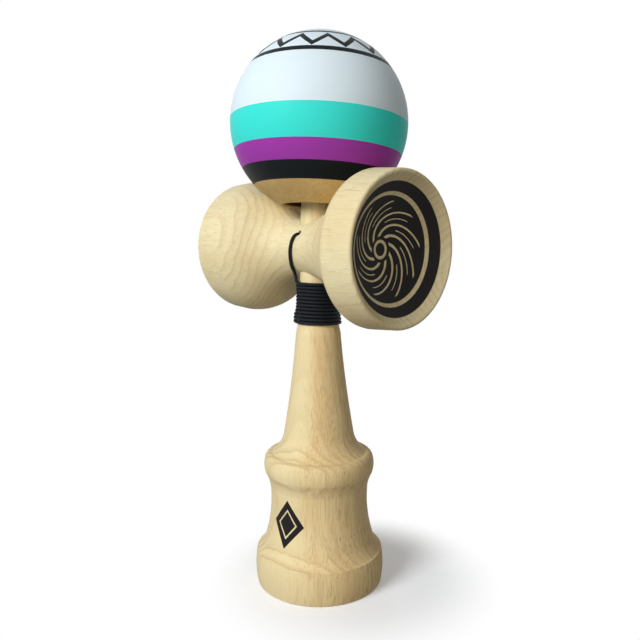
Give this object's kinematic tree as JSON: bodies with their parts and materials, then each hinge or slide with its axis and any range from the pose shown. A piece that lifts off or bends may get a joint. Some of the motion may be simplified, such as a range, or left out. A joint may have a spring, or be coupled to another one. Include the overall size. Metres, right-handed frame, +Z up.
{
  "type": "kendama",
  "caption": "Wooden kendama standing on its foot: turned ken with spike, cross piece with a big and a small cup, striped ball on the spike, black string wound under the cups",
  "frame": {"origin": "middle of the foot's underside, on the surface that the ken stands on", "axes": "+Z up along the ken, +X along the cups' axis toward the big cup, +Y away from the side where the string leaves the cross piece"},
  "size_m": [0.0776, 0.06, 0.1923],
  "materials": {
    "ken_wood": "bare sanded beech, matte",
    "sarado_wood": "bare sanded beech, matte",
    "ball_paint": "satin paint in bands over turned wood",
    "bead_wood": "bare, matte",
    "string": "braided polyester, dull"
  },
  "bodies": {
    "ken_body": {"ken": "ken_wood", "sarado": "sarado_wood", "string_anchor": "string", "string_lead": "string", "string_winding": "string", "string_riser": "string"},
    "string_head": {"tama_bead": "bead_wood", "string_tama_end": "string"},
    "tama_body": {"tama": "ball_paint"}
  },
  "joints": [
    {"name": "tama_lift", "type": "slide", "parent": "ken_body", "child": "string_head", "axis": [0, 0, 1], "range_m": [0, 0.045], "deforming": ["string_riser"]},
    {"name": "tama_spin", "type": "hinge", "parent": "string_head", "child": "tama_body", "pos_m": [0, 0.0009, 0.16144], "axis": [-0.0235, 0.0875, 0.9959], "continuous": true}
  ]
}
